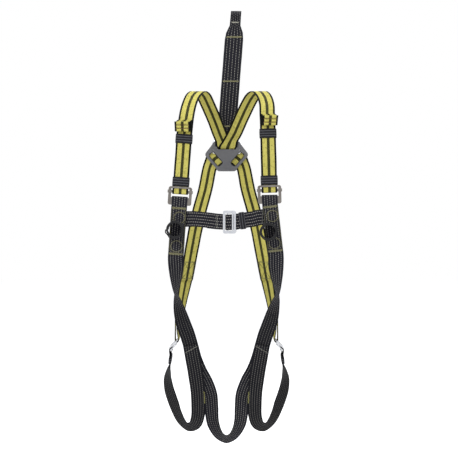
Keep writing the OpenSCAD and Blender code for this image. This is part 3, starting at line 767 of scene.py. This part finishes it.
def belts():
    """Both halves of the chest belt, hemmed beside the buckle."""
    for side, start in (("right", (-1, 0, 0)), ("left", (1, 0, 0))):
        strap = cad_strap(f"{side}_belt", start)
        webbing(f"{side}_belt_webbing", strap, BELT,
                stands_for=[f"{side}_belt"], seed=1.9)
        rows = Stitching()
        buckle_low, buckle_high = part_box("chest_buckle_frame")
        if side == "right":
            edge = Vector((buckle_low.x, buckle_low.y, (buckle_low.z + buckle_high.z) / 2))
            hem = strap.nearest(edge + Vector((-11 * MM, 3 * MM, 0)), 0, 0.62)
            face = strap.face_to(hem, FRONT)
            for s in (hem, hem - 4 * MM):
                rows.line(strap, face, s, 20 * MM)
        else:
            hem = 40 * MM
            face = strap.face_to(hem, FRONT)
            rows.line(strap, face, hem, 18 * MM)
        rows.finish(f"{side}_belt_stitching", PALE)


shoulder_straps()
hip_straps()
front_straps()
loop_patches()
leg_straps()
seat()
belts()


# ---------------------------------------------------------------- rescue strap

def joint(name):
    return next(j for j in frame["joints"] if j["name"] == name)


def mount(name):
    return next(m for m in record["mounts"] if m["name"] == name)


RESCUE_EYE = mount("rescue_eye")
EYE_Z = RESCUE_EYE["pos_m"][2]
LEAN_FROM = 55 * MM
RESCUE_LEAN = RESCUE_EYE["pos_m"][0] / (EYE_Z - LEAN_FROM)
RESCUE_W = 58 * MM
EYE_W = 33 * MM
# Half the distance between the strap's two layers where they are sewn together.
PLY_Y = (WEB_T + 0.5 * MM) / 2


def rescue_width(z):
    """Narrow at the foot, wide along the middle and folded narrow at the eye."""
    foot_w, shoulder_w = 38 * MM, RESCUE_W - 5 * MM
    marks = ((0.040, foot_w), (0.084, foot_w), (0.122, RESCUE_W), (0.362, RESCUE_W),
             (0.372, shoulder_w), (0.401, EYE_W), (0.480, EYE_W))
    for (z0, w0), (z1, w1) in zip(marks, marks[1:]):
        if z <= z1:
            t = max(0.0, (z - z0) / (z1 - z0))
            return w0 + (w1 - w0) * t * t * (3 - 2 * t)
    return EYE_W


def rescue_point(y, z):
    return Vector((RESCUE_LEAN * (z - LEAN_FROM), y, z))


def rescue_section(y, z, out_y, out_z):
    across = Vector((rescue_width(z), 0, 0))
    return rescue_point(y, z), across, Vector((0, out_y, out_z)).normalized()


def rescue_rows():
    """Half round the D-ring's arch, up the front, round the eye and down the back."""
    eye_r = RESCUE_EYE["dims"]["r_mm"] * MM + WEB_T / 2
    low = joint("rescue_strap_swing")["pos_m"][2] - 5 * MM
    turn_r = 9.5 * MM + WEB_T / 2
    join, split, steps = low + 52 * MM, EYE_Z - 34 * MM, 14
    rows = []
    for angle in range(0, 181, 20):
        a = math.radians(angle)
        rows.append(rescue_section(turn_r * math.cos(a), low - turn_r * math.sin(a),
                                   math.cos(a), -math.sin(a)))
    closing = [(turn_r, low + 8 * MM), (PLY_Y * 2.2, join - 10 * MM), (PLY_Y, join + 6 * MM)]
    heights = [join + (split - join) * i / steps for i in range(1, steps)]
    rows += [rescue_section(-y, z, -1, 0) for y, z in closing]
    rows += [rescue_section(-PLY_Y, z, -1, 0) for z in heights]
    rows.append(rescue_section(-PLY_Y * 1.05, split + 2 * MM, -1, 0.1))
    for angle in range(0, 279, 18):
        a = math.radians(-131 - angle)
        rows.append(rescue_section(eye_r * math.cos(a), EYE_Z + eye_r * math.sin(a),
                                   math.cos(a), math.sin(a)))
    rows.append(rescue_section(PLY_Y * 1.05, split + 2 * MM, 1, 0.1))
    rows += [rescue_section(PLY_Y, z, 1, 0) for z in reversed(heights)]
    rows += [rescue_section(y, z, 1, 0) for y, z in reversed(closing)]
    rows.append(rescue_section(turn_r, low + 0.5 * MM, 1, 0))
    return rows


def rescue_tacks(strap, radius, marks, off, depth, pitch, name, material):
    """Bartacks on both faces, at each (height, reach)."""
    tacks = Stitching(radius)
    for z, reach in marks:
        for side in (-1, 1):
            share = (0.0, 0.5) if side < 0 else (0.5, 1.0)
            s = strap.nearest(rescue_point(side * off, z), *share)
            face = strap.face_to(s, Vector((0, side, 0)))
            tacks.bartack(strap, face, s, reach, depth, pitch)
    tacks.finish(name, material, "rescue")


def rescue_strap():
    """One closed loop of webbing, its two layers bartacked together."""
    strap = Strap(rescue_rows(), RESCUE_W, WEB_T, 3 * MM)
    webbing("rescue_webbing", strap, WIDE, "rescue", ["rescue_strap"], seed=2.2)
    wide_reach, foot_reach = 24.84 * MM, 14.72 * MM
    marks = ((0.360, wide_reach), (0.220, wide_reach), (0.078, foot_reach))
    rescue_tacks(strap, 0.42 * MM, marks, PLY_Y, 5.5 * MM, 2.2 * MM, "rescue_bartacks", OLIVE)
    rescue_tacks(strap, 0.5 * MM, ((0.405, 18 * MM),), 5 * MM, 4 * MM, 1.5 * MM,
                 "rescue_eye_stitching", PALE)


rescue_strap()


# -------------------------------------------------------------- window rims

def front_edges(node):
    """Closed loops of points where a node's flat front meets walls behind it."""
    bm = bmesh.new()
    bm.from_mesh(frame["nodes"][node].data)
    bmesh.ops.remove_doubles(bm, verts=bm.verts, dist=0.01 * MM)
    bm.normal_update()
    front = min(v.co.y for v in bm.verts) + 0.05 * MM
    near = {}
    for edge in bm.edges:
        flat = [abs(f.normal.y) > 0.5 for f in edge.link_faces]
        if all(v.co.y < front for v in edge.verts) and any(flat) and not all(flat):
            a, b = (v.index for v in edge.verts)
            near.setdefault(a, []).append(b)
            near.setdefault(b, []).append(a)
    bm.verts.ensure_lookup_table()
    place = {i: bm.verts[i].co.copy() for i in near}
    bm.free()
    loops, left = [], set(near)
    while left:
        at = min(left)
        loop = []
        while at is not None:
            loop.append(place[at])
            left.discard(at)
            at = next((i for i in near[at] if i in left), None)
        loops.append(loop)
    return loops


def window_rims():
    """A raised rim round each of the plate's two slanted windows, its near-black colour a painted shade along the
    window's edge.
    """
    half, rise, sunk, steps = 1.1 * MM, 0.8 * MM, 0.15 * MM, 6
    least, from_middle = 80 * MM, 20 * MM
    for loop in front_edges("dorsal_plate"):
        centre = sum(loop, Vector()) / len(loop)
        girth = sum((a - b).length for a, b in zip(loop, loop[1:] + loop[:1]))
        if girth < least or abs(centre.x) < from_middle:
            continue
        verts, faces = [], []
        for i, p in enumerate(loop):
            before, after = loop[i - 1], loop[(i + 1) % len(loop)]
            heading = ((p - before).normalized() + (after - p).normalized()).normalized()
            away = heading.cross(FRONT).normalized()
            if away.dot(p - centre) < 0:
                away.negate()
            for k in range(steps + 1):
                a = math.pi * k / steps
                verts.append(p + away * half * (1 - math.cos(a)) + FRONT * (rise * math.sin(a) - sunk))
        n = steps + 1
        for i in range(len(loop)):
            a, b = i * n, (i + 1) % len(loop) * n
            for k in range(n):
                faces.append((a + k, a + (k + 1) % n, b + (k + 1) % n, b + k))
        side = "right" if centre.x < 0 else "left"
        rim = new_piece(f"{side}_window_rim", verts, faces, RIM_SHADE)
        fix_normals(rim)


# --------------------------------------------------------- keepers and loops

window_rims()


def spread(points, direction):
    reaches = [p.dot(direction) for p in points]
    return max(reaches) - min(reaches)


def keeper_axes(flat, axis):
    """The direction in which a keeper, seen along its axis, is thinnest; and its depth."""
    widest = max(flat, key=lambda p: p.length)
    guess = axis.cross(widest).normalized()
    outs = []
    for i in range(-60, 61):
        a = math.radians(i * 0.25)
        outs.append(guess * math.cos(a) + axis.cross(guess) * math.sin(a))
    best = min(outs, key=lambda out: spread(flat, out))
    return best, spread(flat, best)


def rounded_outline(width, depth, corner):
    """(x, y, outward x, outward y) round a rounded rectangle, about 3 mm apart."""
    outline, count = [], 14
    for cx, cy, start in ((1, -1, -90), (1, 1, 0), (-1, 1, 90), (-1, -1, 180)):
        centre = (cx * (width / 2 - corner), cy * (depth / 2 - corner))
        for i in range(count):
            a = math.radians(start + 90 * i / (count - 1))
            outline.append((centre[0] + corner * math.cos(a), centre[1] + corner * math.sin(a),
                            math.cos(a), math.sin(a)))
    dense = []
    for a, b in zip(outline, outline[1:] + outline[:1]):
        pieces = max(1, int(math.hypot(b[0] - a[0], b[1] - a[1]) / (3 * MM)))
        dense += [tuple(a[m] + (b[m] - a[m]) * i / pieces for m in range(4))
                  for i in range(pieces)]
    return dense


def band_profile():
    """(share of half the height, lift) over a band's ribbed outside and back inside."""
    wall, levels, ribs, rib, edge = 1.5 * MM, 25, 9, 0.10 * MM, 0.5 * MM
    swell, lift = 0.25 * MM, 0.1 * MM
    profile = []
    for i in range(levels):
        h = -1 + 2 * i / (levels - 1)
        ripple = rib * math.cos(h * math.pi * ribs)
        profile.append((h, lift + swell * (1 - h * h) + ripple - edge * abs(h) ** 14))
    for i in range(levels):
        h = 1 - 2 * i / (levels - 1)
        profile.append((h, -wall + edge * abs(h) ** 14))
    return profile


def keeper(body):
    """An elastic band in the place of a CAD keeper, ribbed and slightly bulged."""
    points = [v.co.copy() for v in frame["nodes"][body].data.vertices]
    middle = sum(points, Vector()) / len(points)
    axis = Vector(next(j["axis"] for j in frame["joints"] if j["child"] == body)).normalized()
    flat = [p - middle - axis * (p - middle).dot(axis) for p in points]
    out, depth = keeper_axes(flat, axis)
    across = out.cross(axis).normalized()
    height = max((p - middle).dot(axis) for p in points) * 2
    outline = rounded_outline(spread(flat, across), depth, depth / 2 - 0.2 * MM)
    profile = band_profile()
    verts, uvs, faces = [], [], []
    run = 0.0
    for k, (x, y, nx, ny) in enumerate(outline):
        if k:
            run += math.hypot(x - outline[k - 1][0], y - outline[k - 1][1])
        for h, lift in profile:
            rise = axis * h * height / 2
            verts.append(middle + across * (x + nx * lift) + out * (y + ny * lift) + rise)
            uvs.append((run / MM, h * height / 2 / MM))
    rows = len(profile)
    for k in range(len(outline)):
        a, b = k * rows, ((k + 1) % len(outline)) * rows
        for i in range(rows):
            j = (i + 1) % rows
            faces.append((a + i, a + j, b + j, b + i))
    piece = new_piece(body + "_band", verts, faces, ELASTIC, body, uvs)
    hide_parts(body)
    fix_normals(piece)


for joint_row in frame["joints"]:
    if joint_row["child"].endswith("_keeper"):
        keeper(joint_row["child"])


LOOP_TURNS, LOOP_STEPS = 3, 72
LOOP_LAYER = 2.45 * MM
# Where the outer turn is folded, in turns back from its end, and how far it stands out.
LOOP_LUMPS = {"right": ((0.05, 0.16), 2.4 * MM), "left": ((0.09,), 0.8 * MM)}


def loop_section(depth):
    """(outwards, along the hole) round one layer of a front loop's webbing."""
    half_t, half_d, bevel = LOOP_LAYER / 2 - 0.12 * MM, depth / 2 - 0.4 * MM, 0.7 * MM
    section = []
    for sx, sy, start in ((1, 1, 0), (-1, 1, 90), (-1, -1, 180), (1, -1, 270)):
        for i in range(4):
            a = math.radians(start + 30 * i)
            section.append((sx * (half_t - bevel) + bevel * math.cos(a),
                            sy * (half_d - bevel) + bevel * math.sin(a)))
    return section


def loop_sag(side, k, angle):
    """How far the webbing strays from its spiral at step k."""
    places, height = LOOP_LUMPS[side]
    before_end = LOOP_TURNS * LOOP_STEPS - k
    sag = 0.25 * MM * math.sin(5 * angle + (1 if side == "right" else 2))
    for place in places:
        sag += height * math.exp(-((before_end - LOOP_STEPS * place) / (LOOP_STEPS * 0.035)) ** 2)
    return sag


def front_loop(side):
    """Three turns of narrow webbing wound into a ring, standing on its edge."""
    hole = mount(f"{side}_front_loop")
    inner = hole["dims"]["r_mm"] * MM
    axis = Vector(hole["axis"]).normalized()
    middle = Vector(hole["pos_m"])
    up = (UP - axis * axis.z).normalized()
    across = axis.cross(up)
    section = loop_section(hole["dims"]["length_mm"] * MM)
    verts, uvs, faces = [], [], []
    total = LOOP_TURNS * LOOP_STEPS
    for k in range(total + 1):
        turn = k / LOOP_STEPS
        a = 2 * math.pi * turn + (0 if side == "right" else math.pi)
        radius = inner + LOOP_LAYER / 2 + LOOP_LAYER * turn * 0.97
        radial = across * math.cos(a) + up * math.sin(a)
        slip = 0.25 * MM * math.sin(2.1 * a + turn)
        sag = loop_sag(side, k, a)
        for x, y in section:
            lift = y * (1 - 0.02 * turn) + slip
            verts.append(middle + radial * (radius + x + sag) + axis * lift)
            uvs.append((radius * a / MM, y / MM))
    n = len(section)
    for k in range(total):
        a, b = k * n, (k + 1) * n
        for i in range(n):
            j = (i + 1) % n
            faces.append((a + i, a + j, b + j, b + i))
    faces.append(tuple(range(n)))
    faces.append(tuple(reversed(range(total * n, total * n + n))))
    body = f"{side}_front_loop"
    piece = new_piece(f"{side}_loop_webbing", verts, faces, LOOPS, body, uvs)
    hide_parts(body)
    fix_normals(piece)


for side_name in SIDES:
    front_loop(side_name)


# ------------------------------------------------------------------ hardware

def dress(node, material, bevel, segments=3):
    """Give a CAD node its material and rounded edges."""
    piece = frame["nodes"][node]
    piece.data.materials.clear()
    piece.data.materials.append(material)
    if bevel:
        weld = piece.modifiers.new("weld", "WELD")
        weld.merge_threshold = 0.01 * MM
        flat = piece.modifiers.new("flat", "DECIMATE")
        flat.decimate_type = "DISSOLVE"
        flat.angle_limit = math.radians(1)
        rounding = piece.modifiers.new("rounding", "BEVEL")
        rounding.width = bevel
        rounding.segments = segments
        rounding.limit_method = "ANGLE"
        rounding.angle_limit = math.radians(40)
        rounding.harden_normals = False
        smooth = piece.modifiers.new("shading", "WEIGHTED_NORMAL")
        smooth.keep_sharp = False
        piece.data.polygons.foreach_set("use_smooth", [True] * len(piece.data.polygons))


for side_name in SIDES:
    dress(f"{side_name}_adjuster_frame", DULL, 1.3 * MM)
    dress(f"{side_name}_adjuster_bar", DULL, 0.7 * MM)
    dress(f"{side_name}_leg_buckle_frame", BRIGHT, 1.0 * MM)
    dress(f"{side_name}_leg_buckle_tongue", BRIGHT, 1.0 * MM)
dress("chest_buckle_frame", BRIGHT, 1.0 * MM)
dress("chest_buckle_tongue", BRIGHT, 1.0 * MM)
dress("dorsal_plate", PLASTIC, 0.8 * MM)
dress("dorsal_d_ring", BRIGHT, 0)


# -------------------------------------------------------------------- studio

def studio_floor(low, middle):
    """A wide pale floor that looks plain white to the camera."""
    white = Material("studio_white")
    seen = white.node("ShaderNodeLightPath").outputs["Is Camera Ray"]
    white.set(Base_Color=(0.90, 0.90, 0.90, 1), Roughness=0.9, Emission_Color=(1, 1, 1, 1),
              Emission_Strength=white.math("MULTIPLY_ADD", seen, 0.62, 0.04))
    reach, drop = 9.0, 0.05
    verts = [(middle.x + x, middle.y + y, low.z - drop)
             for x, y in ((-reach, -reach), (reach, -reach), (reach, reach), (-reach, reach))]
    mesh = bpy.data.meshes.new("floor")
    mesh.from_pydata(verts, [], [(0, 1, 2, 3)])
    mesh.materials.append(white.data)
    floor = bpy.data.objects.new("floor", mesh)
    bpy.context.scene.collection.objects.link(floor)


def soft_light(name, middle, where, size, watts):
    data = bpy.data.lights.new(name, "AREA")
    data.shape = "SQUARE"
    data.size = size
    data.energy = watts
    lamp = bpy.data.objects.new(name, data)
    lamp.location = middle + Vector(where)
    lamp.rotation_euler = (middle - lamp.location).to_track_quat("-Z", "Y").to_euler()
    bpy.context.scene.collection.objects.link(lamp)


def studio_world():
    """Dim bluish light all round, brighter in reflections and white to the camera."""
    glow, in_glass, in_view = 0.36, 0.55, 0.64
    world = bpy.data.worlds.new("studio")
    bpy.context.scene.world = world
    world.use_nodes = True
    tree = world.node_tree
    background = tree.nodes["Background"]
    path = tree.nodes.new("ShaderNodeLightPath")
    tint = tree.nodes.new("ShaderNodeMix")
    tint.data_type = "RGBA"
    tint.inputs["A"].default_value = (0.93, 0.95, 1.0, 1)
    tint.inputs["B"].default_value = (1.0, 1.0, 1.0, 1)
    tree.links.new(path.outputs["Is Camera Ray"], tint.inputs["Factor"])
    tree.links.new(tint.outputs["Result"], background.inputs["Color"])
    level = glow
    for output, amount in (("Is Glossy Ray", in_glass), ("Is Camera Ray", in_view)):
        step = tree.nodes.new("ShaderNodeMath")
        step.operation = "MULTIPLY_ADD"
        step.inputs[1].default_value = amount
        tree.links.new(path.outputs[output], step.inputs[0])
        if isinstance(level, float):
            step.inputs[2].default_value = level
        else:
            tree.links.new(level, step.inputs[2])
        level = step.outputs[0]
    tree.links.new(level, background.inputs["Strength"])


def studio_camera(middle):
    """Level with the harness's middle and square to its front."""
    distance, aside, below = 2.686, 0.0075, 0.0197
    data = bpy.data.cameras.new("camera")
    data.sensor_width = 36.0
    data.lens = 70.1
    camera = bpy.data.objects.new("camera", data)
    camera.location = (middle.x + aside, middle.y - distance, middle.z - below)
    camera.rotation_euler = (math.radians(90), 0, 0)
    bpy.context.scene.collection.objects.link(camera)
    bpy.context.scene.camera = camera


def studio():
    low, high = Vector(cad_box[0]), Vector(cad_box[1])
    middle = (low + high) / 2
    studio_floor(low, middle)
    soft_light("key", middle, (-1.5, -1.7, 2.1), 1.4, 58)
    soft_light("fill", middle, (2.0, -2.2, 0.6), 1.6, 16)
    soft_light("top", middle, (0.1, 0.3, 2.4), 1.6, 22)
    soft_light("rim", middle, (1.2, 2.0, 1.2), 1.2, 14)
    studio_world()
    studio_camera(middle)
    bpy.context.scene.view_settings.view_transform = "Standard"


studio()
